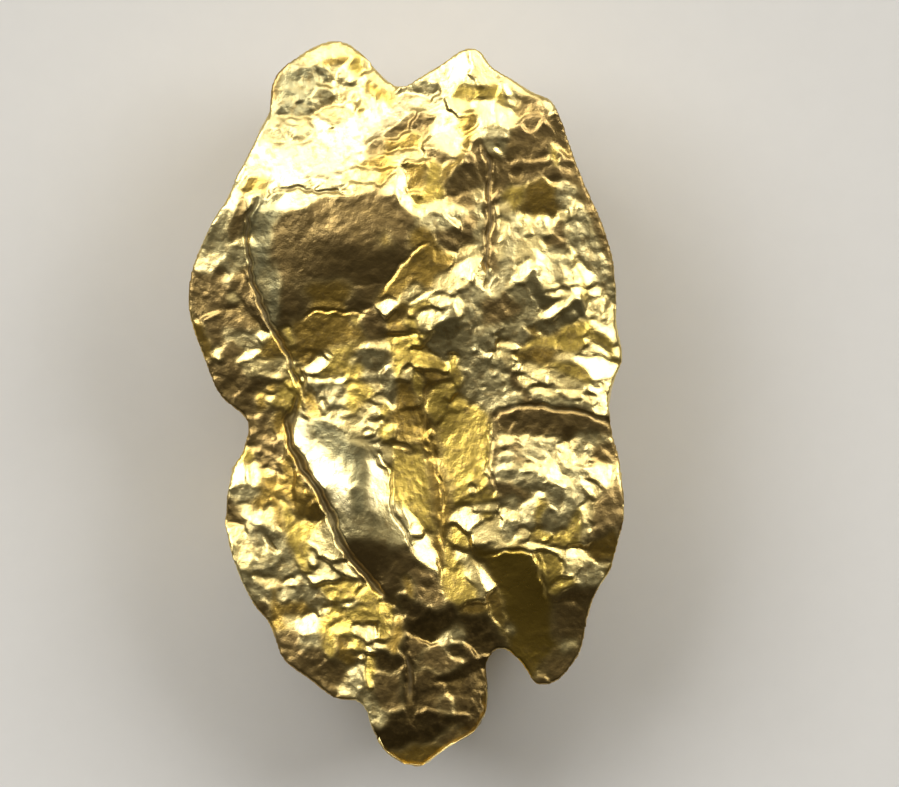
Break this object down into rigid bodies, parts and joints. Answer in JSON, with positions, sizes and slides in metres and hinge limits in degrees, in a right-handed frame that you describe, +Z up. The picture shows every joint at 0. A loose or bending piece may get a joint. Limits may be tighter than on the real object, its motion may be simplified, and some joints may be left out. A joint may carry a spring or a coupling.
{
  "type": "gold nugget",
  "caption": "Natural gold nugget, a lobed and folded lump of native metal lying on its back, with a flat worn patch that it rests on.",
  "frame": {"origin": "the middle of the bounding box in plan, at the height of the worn flat that the nugget rests on", "axes": "+Y along the length towards the broad crown with its two bumps, +X to the right seen from above, +Z up out of the folded front"},
  "size_m": [0.006, 0.01, 0.004],
  "materials": {
    "native_gold": "natural gold, bright and glittering on its facets, duller and darker in its folds"
  },
  "bodies": {
    "root": {"nugget": "native_gold"}
  },
  "joints": []
}
